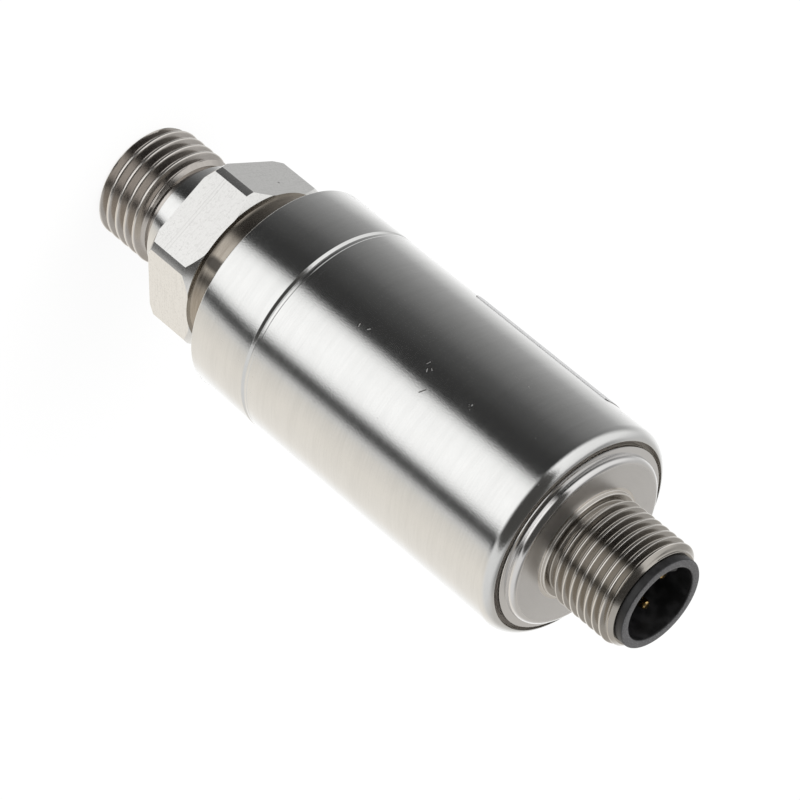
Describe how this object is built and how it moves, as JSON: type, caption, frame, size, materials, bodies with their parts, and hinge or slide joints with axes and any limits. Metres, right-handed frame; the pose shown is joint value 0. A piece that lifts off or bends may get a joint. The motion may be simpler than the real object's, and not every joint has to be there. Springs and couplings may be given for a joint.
{
  "type": "pressure transmitter",
  "caption": "Slim stainless pressure transmitter: threaded process connection with a hexagon, tubular housing, and an end cap with a round threaded plug connector.",
  "frame": {"origin": "centre of the process connection's end face, at the pressure port", "axes": "+Z along the axis from the pressure port to the connector; -Y is normal to one flat of the hexagon"},
  "size_m": [0.0241, 0.0241, 0.076],
  "materials": {
    "turned_steel": "turned stainless steel, fine tool marks",
    "sleeve_steel": "stainless tube, finely brushed round the axis",
    "cap_steel": "turned stainless steel, satin",
    "spring_steel": "spring steel, bare",
    "alumina_ceramic": "white alumina, matt",
    "seal_rubber": "matt black rubber",
    "black_polyamide": "black glass-filled polyamide, fine grain",
    "gold_plating": "gold-plated brass",
    "board_laminate": "green glass-epoxy laminate",
    "holder_plastic": "natural polyamide",
    "polyimide_film": "amber polyimide film",
    "chip_resin": "black moulding resin",
    "capacitor_resin": "yellow moulding resin",
    "capacitor_ceramic": "brown ceramic",
    "label_film": "bare silver polyester film with a thin dark border"
  },
  "bodies": {
    "root": {"process_connection": "turned_steel", "ceramic_sensor_cell": "alumina_ceramic", "cell_seal_ring": "seal_rubber", "cell_retaining_ring": "turned_steel", "housing_sleeve": "sleeve_steel", "sleeve_seal_ring": "seal_rubber", "connector_cap": "cap_steel", "cap_seal_ring": "seal_rubber", "connector_insert": "black_polyamide", "insert_clip": "spring_steel", "insert_seal_ring": "seal_rubber", "contact_pin_1": "gold_plating", "contact_pin_2": "gold_plating", "contact_pin_3": "gold_plating", "contact_pin_4": "gold_plating", "connector_board": "board_laminate", "main_circuit_board": "board_laminate", "board_holder": "holder_plastic", "sensor_flex_strip": "polyimide_film", "signal_chip": "chip_resin", "output_chip": "chip_resin", "surge_suppressor": "chip_resin", "tantalum_capacitor": "capacitor_resin", "ceramic_capacitors": "capacitor_ceramic", "chip_resistors": "chip_resin", "rating_label": "label_film"}
  },
  "joints": []
}
